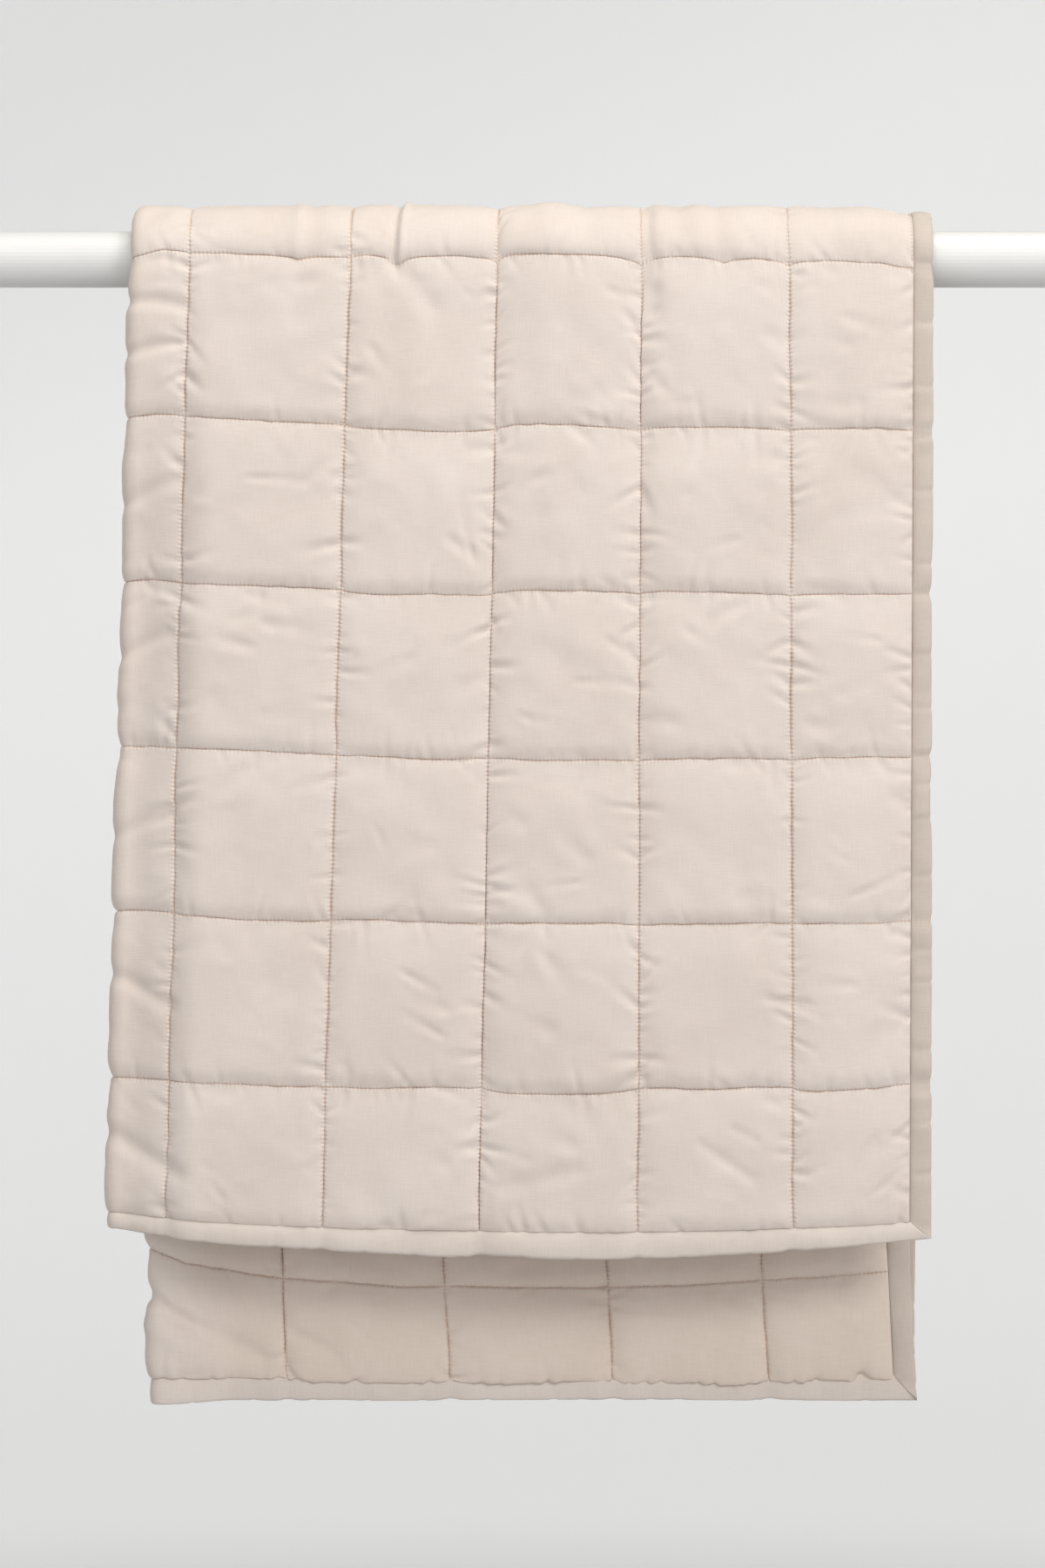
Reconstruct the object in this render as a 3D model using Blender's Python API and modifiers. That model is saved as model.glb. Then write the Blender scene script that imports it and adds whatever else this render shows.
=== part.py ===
"""A quilted throw blanket, folded in half lengthwise and hung over a round rail.

All sizes are in metres. +X runs along the rail from the centre of its left end, the camera side
of the rail is towards -Y, and +Z is up. A place on the throw is given flat, as it was cut: across
it from the long edge that shows in front, and along it from the hem that hangs in front.
"""

import math
from typing import NamedTuple

import bmesh
import bpy

OBJECT_NAME = "quilted_throw_on_rail"

# The rail
RAIL_LENGTH = 1.0
RAIL_DIAMETER = 0.044
RAIL_RADIUS = RAIL_DIAMETER / 2
RAIL_MIDDLE = RAIL_LENGTH / 2
RAIL_SIDES = 48
RAIL_END_CHAMFER = 0.001

# The throw as it was cut and quilted
THROW_WIDTH = 1.280
THROW_LENGTH = 1.800
BINDING_WIDTH = 0.020
COLUMN_PITCH = 0.130
EDGE_COLUMN = 0.100
FULL_COLUMNS = 8
ROW_PITCH = 0.131
FRONT_EDGE_ROW = 0.111
FULL_ROWS = 12

# How thick it is, between the seams and at them
QUILT_THICKNESS = 0.010
SEAM_SHARE = 0.24
PUFF_ROUNDNESS = 0.4
FOLD_SHARE = 0.62
FOLD_SHARE_REACH = 0.032
BINDING_THICKNESS = 0.006
BINDING_INNER_SHARE = 0.4
SEWN_GAP = 0.0003

# How the two layers lie on the rail, and how much shorter they hang than they were cut
REST_GAP = 0.0006
LAYER_STEP = 0.0108
INNER_DEPTH = REST_GAP + QUILT_THICKNESS / 2
OUTER_DEPTH = INNER_DEPTH + LAYER_STEP
FOLD_RADIUS = LAYER_STEP / 2
OUTER_FRONT_DROP = 0.793
INNER_FRONT_DROP = 0.791
TAKE_UP = 0.977
LAYER_BLEND = 0.110
LEVEL_FROM = 1.600
RAIL_FLAT = 0.850

# Where the outer layer passes the edge of the inner one, it comes down towards the rail
STEP_DOWN = 0.0070
STEP_DOWN_LENGTH = 0.070

# Slow waves of the hanging cloth, nothing at the rail and full at the hems
WAVE_DEPTH = 0.004
WAVES_ACROSS = 1.4
WAVE_START = 0.6

# Mesh lines within a cell, as shares of it, and across the fold and the rail
COLUMN_SHARES = (0.0, 0.24, 0.76)
ROW_SHARES = (0.0, 0.2, 0.5, 0.8)
FOLD_SEGMENTS = 6
RAIL_SEGMENTS = 12


class Seam(NamedTuple):
    """A line along the throw: its flat distance from the outer long edge, and where it hangs,
    as its distance from the rail's middle at the front hem, at the rail and at the back hem."""

    flat: float
    front_hem: float
    rail: float
    back_hem: float


OUTER_SEAMS = (
    Seam(0.000, 0.318, 0.320, 0.312),
    Seam(0.020, 0.301, 0.304, 0.294),
    Seam(0.120, 0.210, 0.207, 0.200),
    Seam(0.250, 0.089, 0.093, 0.078),
    Seam(0.380, -0.034, -0.018, -0.043),
    Seam(0.510, -0.156, -0.132, -0.165),
    Seam(0.640, -0.277, -0.257, -0.279),
)
INNER_SEAMS = (
    Seam(0.770, -0.251, -0.224, -0.186),
    Seam(0.900, -0.129, -0.100, -0.057),
    Seam(1.030, -0.007, 0.025, 0.072),
    Seam(1.160, 0.115, 0.149, 0.196),
    Seam(1.260, 0.209, 0.245, 0.295),
    Seam(1.280, 0.227, 0.264, 0.313),
)


class Fold(NamedTuple):
    """The lengthwise fold: its flat place and where it hangs, at one flat distance from the hem."""

    from_hem: float
    flat: float
    hangs: float


FOLDS = (
    Fold(0.0, 0.691, -0.322),
    Fold(RAIL_FLAT, 0.688, -0.300),
    Fold(THROW_LENGTH, 0.656, -0.291),
)


class Fall(NamedTuple):
    """How far a line across the throw lies nearer to the front hem than level, at one flat
    distance from that hem: tilt is its change from the fold to the edge, sag is its middle."""

    from_hem: float
    tilt: float
    sag: float


FALLS = (
    Fall(0.000, 0.0055, 0.0186),
    Fall(0.020, 0.0050, 0.0100),
    Fall(0.131, 0.0050, 0.0070),
    Fall(0.655, 0.0124, 0.0060),
    Fall(0.786, 0.0120, 0.0020),
    Fall(0.917, 0.0080, 0.0030),
    Fall(1.200, 0.0000, -0.0060),
    Fall(1.703, 0.0000, -0.0160),
    Fall(1.780, 0.0000, -0.0040),
    Fall(1.800, 0.0000, 0.0000),
)


def mix(low, high, share):
    return low + (high - low) * share


def smooth(share):
    """A soft step from 0 to 1."""
    share = min(1.0, max(0.0, share))
    return share * share * (3 - 2 * share)


def between(pairs, at):
    """The value at a place, on straight lines between (place, value) pairs."""
    for (low, first), (high, second) in zip(pairs, pairs[1:]):
        if at <= high:
            return mix(first, second, (at - low) / (high - low))
    return pairs[-1][1]


def hang_of(seam, along):
    """Where a seam hangs along X at a flat distance from the front hem."""
    places = ((0.0, seam.front_hem), (RAIL_FLAT, seam.rail), (THROW_LENGTH, seam.back_hem))
    return between(places, along)


def fold_flat(along):
    return between([(fold.from_hem, fold.flat) for fold in FOLDS], along)


def fold_centre(along):
    """The X of the centre that the cloth turns round at the fold."""
    return between([(fold.from_hem, fold.hangs) for fold in FOLDS], along) + FOLD_RADIUS


def inner_share(across, along):
    """0 on the outer layer, 1 on the inner one, and a slow change on both sides of the fold,
    which moves wholly onto the outer layer by the back hem, so that this hem hangs level."""
    to_back_hem = smooth((along - LEVEL_FROM) / (THROW_LENGTH - LEVEL_FROM))
    middle = fold_flat(along) - LAYER_BLEND * to_back_hem
    return smooth((across - middle + LAYER_BLEND) / (2 * LAYER_BLEND))


def front_drop(across, along):
    return mix(OUTER_FRONT_DROP, INNER_FRONT_DROP, inner_share(across, along))


def turn_radius(across, along):
    """The radius at which the cloth keeps its length as it turns over the rail."""
    return RAIL_RADIUS + mix(OUTER_DEPTH, INNER_DEPTH, inner_share(across, along))


def cross_section(across, along):
    """(X from the rail's middle, depth from the rail's surface) of the cloth's middle."""
    half_arc = math.pi * FOLD_RADIUS / 2
    start = fold_flat(along) - half_arc
    end = fold_flat(along) + half_arc
    centre = fold_centre(along)
    if across < start:
        outer = [(seam.flat, hang_of(seam, along)) for seam in OUTER_SEAMS]
        hangs = between(outer + [(start, centre)], across)
        past_inner = hangs - hang_of(INNER_SEAMS[-1], along)
        return hangs, OUTER_DEPTH - STEP_DOWN * smooth(past_inner / STEP_DOWN_LENGTH)
    if across > end:
        inner = [(seam.flat, hang_of(seam, along)) for seam in INNER_SEAMS]
        return between([(end, centre)] + inner, across), INNER_DEPTH
    turned = (across - start) / FOLD_RADIUS
    hangs = centre - FOLD_RADIUS * math.sin(turned)
    return hangs, INNER_DEPTH + FOLD_RADIUS * (1 + math.cos(turned))


def towards_front(hangs, along):
    """How far the cloth lies nearer to the front hem than level, from FALLS."""
    fold = fold_centre(along)
    edge = hang_of(OUTER_SEAMS[0], along)
    share = min(1.0, max(0.0, (hangs - fold) / (edge - fold)))
    tilt = between([(fall.from_hem, fall.tilt) for fall in FALLS], along)
    sag = between([(fall.from_hem, fall.sag) for fall in FALLS], along)
    return tilt * (share - 0.5) + sag * (4 * share * (1 - share) - 2 / 3)


def wave(hangs, down):
    """The slow wave of the hanging cloth, away from the rail's plane."""
    height = smooth(down / OUTER_FRONT_DROP)
    turn = 2 * math.pi * WAVES_ACROSS * hangs / (THROW_WIDTH / 2)
    return WAVE_DEPTH * height * (1 + math.sin(turn + WAVE_START)) / 2


def place(across, along):
    """The point in space of a flat place on the throw's middle."""
    hangs, depth = cross_section(across, along)
    radius = turn_radius(across, along)
    path = along - front_drop(across, along) - towards_front(hangs, along)
    over = math.pi * radius
    x = RAIL_MIDDLE + hangs
    if path < 0:
        down = -path * TAKE_UP
        out = RAIL_RADIUS + depth + wave(hangs, down)
        return x, -out, -down
    if path > over:
        down = (path - over) * TAKE_UP
        out = RAIL_RADIUS + depth + wave(hangs, down)
        return x, out, -down
    turned = path / radius
    out = RAIL_RADIUS + depth
    return x, -out * math.cos(turned), out * math.sin(turned)


def cell_edges(first, edge, pitch, count, last):
    """The flat places of the seams in one direction, from binding line to binding line."""
    inside = [first + edge + pitch * number for number in range(count + 1)]
    return [first] + inside + [last]


COLUMN_EDGES = cell_edges(
    BINDING_WIDTH, EDGE_COLUMN, COLUMN_PITCH, FULL_COLUMNS, THROW_WIDTH - BINDING_WIDTH
)
ROW_EDGES = cell_edges(
    BINDING_WIDTH, FRONT_EDGE_ROW, ROW_PITCH, FULL_ROWS, THROW_LENGTH - BINDING_WIDTH
)
FOLD_COLUMN = next(n for n, edge in enumerate(COLUMN_EDGES) if edge > FOLDS[-1].flat) - 1
RAIL_ROW = next(n for n, edge in enumerate(ROW_EDGES) if edge > RAIL_FLAT) - 1


def across_lines(along):
    """The flat places across the throw that the mesh has points at, binding line to line."""
    half_arc = math.pi * FOLD_RADIUS / 2
    fold = fold_flat(along)
    lines = []
    for number, (low, high) in enumerate(zip(COLUMN_EDGES, COLUMN_EDGES[1:])):
        if number == FOLD_COLUMN:
            arc = [mix(-half_arc, half_arc, n / FOLD_SEGMENTS) for n in range(FOLD_SEGMENTS + 1)]
            beside = [mix(fold + half_arc, high, 0.5)]
            lines += [low, mix(low, fold - half_arc, 0.5)] + [fold + turn for turn in arc] + beside
        else:
            lines += [mix(low, high, share) for share in COLUMN_SHARES]
    return lines + [COLUMN_EDGES[-1]]


def along_lines(across):
    """The flat places along the throw that the mesh has points at, binding line to line."""
    off_rail = front_drop(across, RAIL_FLAT) + math.pi * turn_radius(across, RAIL_FLAT)
    lines = []
    for number, (low, high) in enumerate(zip(ROW_EDGES, ROW_EDGES[1:])):
        if number == RAIL_ROW:
            lines += [mix(low, off_rail, n / RAIL_SEGMENTS) for n in range(RAIL_SEGMENTS + 1)]
        else:
            lines += [mix(low, high, share) for share in ROW_SHARES]
    return lines + [ROW_EDGES[-1]]


def cell_share(edges, at):
    """How far a flat place is through its cell, from 0 to 1."""
    for low, high in zip(edges, edges[1:]):
        if at <= high:
            return min(1.0, max(0.0, (at - low) / (high - low)))
    return 1.0


def puff(across, along):
    """The share of the full thickness that the wadding has at a flat place: 0 at the seams."""
    rise = math.sin(math.pi * cell_share(COLUMN_EDGES, across))
    rise *= math.sin(math.pi * cell_share(ROW_EDGES, along))
    near_fold = 1 - smooth(abs(across - fold_flat(along)) / FOLD_SHARE_REACH)
    return max(0.0, rise) ** PUFF_ROUNDNESS * mix(1.0, FOLD_SHARE, near_fold)


def new_material(name, colour, roughness, metallic=0.0):
    material = bpy.data.materials.new(name)
    material.use_nodes = True
    shader = material.node_tree.nodes["Principled BSDF"]
    shader.inputs["Base Color"].default_value = (*colour, 1.0)
    shader.inputs["Roughness"].default_value = roughness
    shader.inputs["Metallic"].default_value = metallic
    return material


def cloth_solid(name, rows, thickness, thin_share, collection, material):
    """A closed sheet from a grid of (point, share of the thickness) rows, made with Solidify."""
    mesh = bpy.data.meshes.new(name)
    grid = bmesh.new()
    columns = len(rows[0])
    bmesh.ops.create_grid(grid, x_segments=columns - 1, y_segments=len(rows) - 1, size=1.0)
    order = sorted(grid.verts, key=lambda vert: (round(vert.co.y, 5), round(vert.co.x, 5)))
    cells = [cell for row in rows for cell in row]
    for vert, (point, _) in zip(order, cells):
        vert.co = point
    shares = {vert.index: share for vert, (_, share) in zip(order, cells)}
    grid.to_mesh(mesh)
    grid.free()
    mesh.shade_smooth()
    cloth = bpy.data.objects.new(name, mesh)
    wadding = cloth.vertex_groups.new(name="wadding")
    for index, share in shares.items():
        wadding.add([index], share, "REPLACE")
    solid = cloth.modifiers.new("thickness", "SOLIDIFY")
    solid.thickness = thickness
    solid.offset = 0.0
    solid.vertex_group = wadding.name
    solid.thickness_vertex_group = thin_share
    cloth.data.materials.append(material)
    collection.objects.link(cloth)
    return cloth


def inside(at, edges):
    """A flat place drawn in by half the sewn gap where it lies on the outline."""
    return min(max(at, edges[0] + SEWN_GAP / 2), edges[-1] - SEWN_GAP / 2)


def quilted_body(collection, material):
    """The quilted cloth inside the binding: face, wadding and backing sewn into one."""
    rows = []
    for step, level in enumerate(along_lines(COLUMN_EDGES[0])):
        row = []
        for across in across_lines(level):
            along = along_lines(across)[step]
            point = place(inside(across, COLUMN_EDGES), inside(along, ROW_EDGES))
            row.append((point, puff(across, along)))
        rows.append(row)
    return cloth_solid("quilt", rows, QUILT_THICKNESS, SEAM_SHARE, collection, material)


# Each binding strip: its share of the width from the edge, and of its full thickness there
BINDING_PROFILE = ((0.0, 0.5), (0.45, 1.0), (1.0, 0.0))


def side_binding(name, edge, inwards, collection, material):
    """The strip that closes a long edge, mitred at both hems. inwards is 1 or -1 across."""
    width = BINDING_WIDTH - SEWN_GAP / 2
    rows = []
    for share, thick in BINDING_PROFILE:
        across = edge + inwards * share * width
        lines = along_lines(across)
        mitre = share * BINDING_WIDTH + SEWN_GAP
        lines = [mitre] + lines[1:-1] + [THROW_LENGTH - mitre]
        rows.append([(place(across, along), thick) for along in lines])
    return cloth_solid(name, rows, BINDING_THICKNESS, BINDING_INNER_SHARE, collection, material)


def hem_binding(name, hem, inwards, collection, material):
    """The strip that closes a hem, mitred at both long edges. inwards is 1 or -1 along."""
    width = BINDING_WIDTH - SEWN_GAP / 2
    rows = []
    for share, thick in BINDING_PROFILE:
        along = hem + inwards * share * width
        lines = across_lines(along)
        mitre = share * BINDING_WIDTH + SEWN_GAP
        lines = [mitre] + lines[1:-1] + [THROW_WIDTH - mitre]
        rows.append([(place(across, along), thick) for across in lines])
    return cloth_solid(name, rows, BINDING_THICKNESS, BINDING_INNER_SHARE, collection, material)


def rail(collection, material):
    """A plain round rail along X, with flat ends where brackets hold it."""
    mesh = bpy.data.meshes.new("rail")
    bar = bmesh.new()
    bmesh.ops.create_cone(
        bar,
        cap_ends=True,
        segments=RAIL_SIDES,
        radius1=RAIL_RADIUS,
        radius2=RAIL_RADIUS,
        depth=RAIL_LENGTH,
    )
    bar.to_mesh(mesh)
    bar.free()
    mesh.shade_smooth()
    mesh.set_sharp_from_angle(angle=math.radians(40))
    bar_object = bpy.data.objects.new("rail", mesh)
    bar_object.rotation_euler = (0, math.pi / 2, 0)
    bar_object.location = (RAIL_MIDDLE, 0, 0)
    chamfer = bar_object.modifiers.new("chamfer", "BEVEL")
    chamfer.width = RAIL_END_CHAMFER
    chamfer.segments = 1
    chamfer.limit_method = "ANGLE"
    chamfer.angle_limit = math.radians(60)
    mesh.materials.append(material)
    collection.objects.link(bar_object)
    return bar_object


def main():
    for existing in list(bpy.data.objects):
        bpy.data.objects.remove(existing)
    collection = bpy.data.collections.new(OBJECT_NAME)
    bpy.context.scene.collection.children.link(collection)

    painted = new_material("white_painted_wood", (0.86, 0.86, 0.85), 0.4)
    cloth = new_material("washed_linen", (0.76, 0.68, 0.61), 0.9)
    strip = new_material("linen_binding", (0.74, 0.66, 0.61), 0.9)

    rail(collection, painted)
    quilted_body(collection, cloth)
    side_binding("binding_outer_side", 0.0, 1, collection, strip)
    side_binding("binding_inner_side", THROW_WIDTH, -1, collection, strip)
    hem_binding("binding_front_hem", 0.0, 1, collection, strip)
    hem_binding("binding_back_hem", THROW_LENGTH, -1, collection, strip)


main()
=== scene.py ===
"""The finished look of a quilted throw blanket that hangs over a round rail.

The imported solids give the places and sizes. This script dresses them: the two cloths of the throw
with their padded squares, puckers and creases, the folded binding, the stitching and the painted
rail. A place on the throw is given flat, as it was cut, in metres: u across it from the long edge
that shows in front, and v along it from the hem that hangs in front.
"""

from __future__ import annotations

import logging
import math
from dataclasses import dataclass, field
from enum import Enum

import bmesh
import bpy
import numpy as np
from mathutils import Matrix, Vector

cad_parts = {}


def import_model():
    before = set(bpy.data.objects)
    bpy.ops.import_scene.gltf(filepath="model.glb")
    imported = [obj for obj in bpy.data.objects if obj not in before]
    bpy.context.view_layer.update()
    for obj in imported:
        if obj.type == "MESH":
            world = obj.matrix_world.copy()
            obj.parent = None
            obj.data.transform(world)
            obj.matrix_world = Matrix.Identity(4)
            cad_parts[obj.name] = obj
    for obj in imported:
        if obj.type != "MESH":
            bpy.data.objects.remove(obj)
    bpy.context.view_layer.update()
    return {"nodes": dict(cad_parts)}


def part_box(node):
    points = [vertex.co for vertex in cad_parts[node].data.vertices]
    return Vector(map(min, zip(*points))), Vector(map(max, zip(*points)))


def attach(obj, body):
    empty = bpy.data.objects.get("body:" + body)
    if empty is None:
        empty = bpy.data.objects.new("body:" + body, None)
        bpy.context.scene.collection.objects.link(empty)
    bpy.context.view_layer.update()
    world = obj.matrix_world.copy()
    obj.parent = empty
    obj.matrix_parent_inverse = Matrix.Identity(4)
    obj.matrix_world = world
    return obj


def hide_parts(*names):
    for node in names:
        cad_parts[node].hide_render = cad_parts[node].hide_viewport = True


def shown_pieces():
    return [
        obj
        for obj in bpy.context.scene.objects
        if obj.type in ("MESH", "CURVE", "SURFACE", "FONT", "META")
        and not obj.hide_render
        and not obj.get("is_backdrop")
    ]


LOG = logging.getLogger("throw")
MM = 0.001
BODY = "root"
# The u between which the cloth turns round its lengthwise fold, where its mesh is finer
FOLD_SPAN = (0.640, 0.715)

Grid = np.ndarray
Colour = tuple[float, float, float, float]
Point = tuple[float, float, float]
Material = bpy.types.Material
Piece = bpy.types.Object
Tree = bpy.types.NodeTree
Socket = bpy.types.NodeSocket


def linear(hex_colour: str) -> Colour:
    """Turns an sRGB hex colour into a linear colour with alpha.

    Args:
        hex_colour: Six hex digits, such as "E4D6CA".

    Returns:
        Red, green, blue and alpha, as shader sockets take them.
    """
    parts = [int(hex_colour[place : place + 2], 16) / 255 for place in (0, 2, 4)]
    values = [part / 12.92 if part <= 0.04045 else ((part + 0.055) / 1.055) ** 2.4 for part in parts]
    return values[0], values[1], values[2], 1.0


def soft_step(share: Grid) -> Grid:
    """A soft step from 0 to 1 for shares below 0 to above 1."""
    share = np.clip(share, 0.0, 1.0)
    return share * share * (3 - 2 * share)


def window(at: Grid, first: float, last: float, rise: float, fall: float) -> Grid:
    """1 between two places and 0 beyond them, with a soft rise and fall just inside."""
    return soft_step((at - first) / rise) * soft_step((last - at) / fall)


def drift(x: Grid, y: Grid, seed: int) -> Grid:
    """Smooth random values over a plane, one for each unit square and blended between them.

    Args:
        x: First coordinate, in units of the wavelength.
        y: Second coordinate, in units of the wavelength.
        seed: Which pattern it is.

    Returns:
        Values from about -1 to 1, of the shape of x.
    """
    size = 256
    table = np.random.default_rng(seed).uniform(-1.0, 1.0, (size, size))
    low_x = np.floor(x).astype(int)
    low_y = np.floor(y).astype(int)
    in_x = soft_step(x - low_x)
    in_y = soft_step(y - low_y)
    left = low_x % size
    right = (low_x + 1) % size
    under = low_y % size
    over = (low_y + 1) % size
    near = table[left, under] * (1 - in_x) + table[right, under] * in_x
    far = table[left, over] * (1 - in_x) + table[right, over] * in_x
    return near * (1 - in_y) + far * in_y


class Seams(Enum):
    """The two directions in which the throw is quilted."""

    LENGTHWISE = "lengthwise"
    CROSSWISE = "crosswise"


@dataclass(frozen=True)
class Cut:
    """The flat sizes of the throw, as it was cut and quilted."""

    width: float = 1.280
    length: float = 1.800
    binding: float = 0.020
    column: float = 0.130
    edge_column: float = 0.100
    full_columns: int = 8
    row: float = 0.131
    front_edge_row: float = 0.111
    full_rows: int = 12

    def columns(self) -> Grid:
        """The u of each lengthwise seam, from binding line to binding line."""
        inside = self.binding + self.edge_column + self.column * np.arange(self.full_columns + 1)
        return np.concatenate([[self.binding], inside, [self.width - self.binding]])

    def rows(self) -> Grid:
        """The v of each crosswise seam, from binding line to binding line."""
        inside = self.binding + self.front_edge_row + self.row * np.arange(self.full_rows + 1)
        return np.concatenate([[self.binding], inside, [self.length - self.binding]])

    def joins(self) -> tuple[float, float, float]:
        """Where the face cloth's pieces meet: the u of two seams, and the v of one behind the rail."""
        columns, rows = self.columns(), self.rows()
        return float(columns[3]), float(columns[6]), float(rows[7])


@dataclass(frozen=True)
class SeamHang:
    """A lengthwise line: its u, and its distance from the rail's middle at three levels."""

    flat: float
    front_hem: float
    rail: float
    back_hem: float


@dataclass(frozen=True)
class FoldHang:
    """The lengthwise fold at one v: its u, and its distance from the rail's middle."""

    from_hem: float
    flat: float
    hangs: float


@dataclass(frozen=True)
class Fall:
    """How far a crosswise line at one v lies nearer to the front hem than level."""

    from_hem: float
    tilt: float
    sag: float


OUTER_SEAMS = (
    SeamHang(0.000, 0.318, 0.320, 0.312),
    SeamHang(0.020, 0.301, 0.304, 0.294),
    SeamHang(0.120, 0.210, 0.207, 0.200),
    SeamHang(0.250, 0.089, 0.093, 0.078),
    SeamHang(0.380, -0.034, -0.018, -0.043),
    SeamHang(0.510, -0.156, -0.132, -0.165),
    SeamHang(0.640, -0.277, -0.257, -0.279),
)
INNER_SEAMS = (
    SeamHang(0.770, -0.251, -0.224, -0.186),
    SeamHang(0.900, -0.129, -0.100, -0.057),
    SeamHang(1.030, -0.007, 0.025, 0.072),
    SeamHang(1.160, 0.115, 0.149, 0.196),
    SeamHang(1.260, 0.209, 0.245, 0.295),
    SeamHang(1.280, 0.227, 0.264, 0.313),
)
FOLDS = (
    FoldHang(0.000, 0.691, -0.322),
    FoldHang(0.850, 0.688, -0.300),
    FoldHang(1.800, 0.656, -0.291),
)
FALLS = (
    Fall(0.000, 0.0055, 0.0186),
    Fall(0.020, 0.0050, 0.0100),
    Fall(0.131, 0.0050, 0.0070),
    Fall(0.655, 0.0124, 0.0060),
    Fall(0.786, 0.0120, 0.0020),
    Fall(0.917, 0.0080, 0.0030),
    Fall(1.200, 0.0000, -0.0060),
    Fall(1.703, 0.0000, -0.0160),
    Fall(1.780, 0.0000, -0.0040),
    Fall(1.800, 0.0000, 0.0000),
)


@dataclass(frozen=True)
class Valley:
    """A broad lengthwise trough in the hanging throw, along one of the outer layer's seams."""

    seam: int
    width: float
    at_hem: float
    at_rail: float


VALLEYS = (
    Valley(6, 0.020, 0.0006, 0.0012),
    Valley(4, 0.026, 0.0040, 0.0062),
    Valley(3, 0.020, 0.0008, 0.0048),
)


@dataclass
class Drape:
    """The shape in which the throw hangs: it turns flat places into points in space."""

    rail_low: Point
    rail_high: Point
    cut: Cut = field(default_factory=Cut)
    inner_depth: float = 0.0056
    layer_step: float = 0.0108
    outer_drop: float = 0.793
    inner_drop: float = 0.791
    take_up: float = 0.977
    blend: float = 0.110
    level_from: float = 1.600
    rail_flat: float = 0.850
    step_down: float = 0.0070
    step_down_length: float = 0.070
    wave_depth: float = 0.004
    waves_across: float = 1.4
    wave_start: float = 0.6
    curl: float = 0.022
    curl_reach: float = 0.062
    curl_fall: float = 0.300
    valley_levels: tuple[float, ...] = (0.0, 0.74, 0.85, 1.30)
    valley_behind: float = 0.0006

    def __post_init__(self) -> None:
        """Works out what follows from the rail's box."""
        self.rail_radius = (self.rail_high[2] - self.rail_low[2]) / 2
        self.middle = (self.rail_low[0] + self.rail_high[0]) / 2
        self.outer_depth = self.inner_depth + self.layer_step
        self.fold_radius = self.layer_step / 2

    def _hang(self, seam: SeamHang, v: Grid) -> Grid:
        """Where a lengthwise line hangs along the rail at each v."""
        places = (0.0, self.rail_flat, self.cut.length)
        return np.interp(v, places, (seam.front_hem, seam.rail, seam.back_hem))

    def fold_flat(self, v: Grid) -> Grid:
        """The u of the fold at each v."""
        return np.interp(v, [f.from_hem for f in FOLDS], [f.flat for f in FOLDS])

    def _fold_centre(self, v: Grid) -> Grid:
        """Where the centre of the fold's half turn hangs at each v."""
        hangs = np.interp(v, [f.from_hem for f in FOLDS], [f.hangs for f in FOLDS])
        return hangs + self.fold_radius

    def _inner_share(self, u: Grid, v: Grid) -> Grid:
        """0 on the outer layer and 1 on the inner one, with a slow change beside the fold."""
        to_back_hem = soft_step((v - self.level_from) / (self.cut.length - self.level_from))
        centre = self.fold_flat(v) - self.blend * to_back_hem
        return soft_step((u - centre + self.blend) / (2 * self.blend))

    def _through(self, knots: list[tuple[Grid, Grid]], u: Grid) -> Grid:
        """The hang at each u, on straight lines between knots that change with v."""
        hangs = knots[0][1].copy()
        for (low_u, low), (high_u, high) in zip(knots, knots[1:]):
            share = np.clip((u - low_u) / np.maximum(high_u - low_u, 1e-6), 0.0, 1.0)
            hangs = np.where(u > low_u, low + (high - low) * share, hangs)
        return hangs

    def _section(self, u: Grid, v: Grid) -> tuple[Grid, Grid]:
        """The hang along the rail and the depth from the rail's surface at each flat place."""
        half_arc = math.pi * self.fold_radius / 2
        start = self.fold_flat(v) - half_arc
        end = self.fold_flat(v) + half_arc
        centre = self._fold_centre(v)
        outer_knots = [(np.full_like(v, s.flat), self._hang(s, v)) for s in OUTER_SEAMS]
        inner_knots = [(np.full_like(v, s.flat), self._hang(s, v)) for s in INNER_SEAMS]
        outer = self._through(outer_knots + [(start, centre)], u)
        inner = self._through([(end, centre)] + inner_knots, u)
        turned = np.clip((u - start) / self.fold_radius, 0.0, math.pi)
        around = centre - self.fold_radius * np.sin(turned)
        past_inner = outer - self._hang(INNER_SEAMS[-1], v)
        outer_depth = self.outer_depth - self.step_down * soft_step(past_inner / self.step_down_length)
        around_depth = self.inner_depth + self.fold_radius * (1 + np.cos(turned))
        hangs = np.where(u < start, outer, np.where(u > end, inner, around))
        depth = np.where(u < start, outer_depth, np.where(u > end, self.inner_depth, around_depth))
        return hangs, depth

    def _towards_front(self, hangs: Grid, v: Grid) -> Grid:
        """How far each place lies nearer to the front hem than level."""
        fold = self._fold_centre(v)
        edge = self._hang(OUTER_SEAMS[0], v)
        share = np.clip((hangs - fold) / (edge - fold), 0.0, 1.0)
        places = [fall.from_hem for fall in FALLS]
        tilt = np.interp(v, places, [fall.tilt for fall in FALLS])
        sag = np.interp(v, places, [fall.sag for fall in FALLS])
        return tilt * (share - 0.5) + sag * (4 * share * (1 - share) - 2 / 3)

    def _wave(self, hangs: Grid, down: Grid) -> Grid:
        """The slow wave of the hanging cloth, away from the rail's plane."""
        height = soft_step(down / self.outer_drop)
        turn = 2 * math.pi * self.waves_across * hangs / (self.cut.width / 2)
        return self.wave_depth * height * (1 + np.sin(turn + self.wave_start)) / 2

    def _curl(self, hangs: Grid, v: Grid, down: Grid) -> Grid:
        """How far the folded edge turns back towards the rail's plane as it hangs."""
        beside = soft_step(1 - (hangs - self._fold_centre(v)) / self.curl_reach)
        return self.curl * beside * soft_step(down / self.curl_fall)

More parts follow.
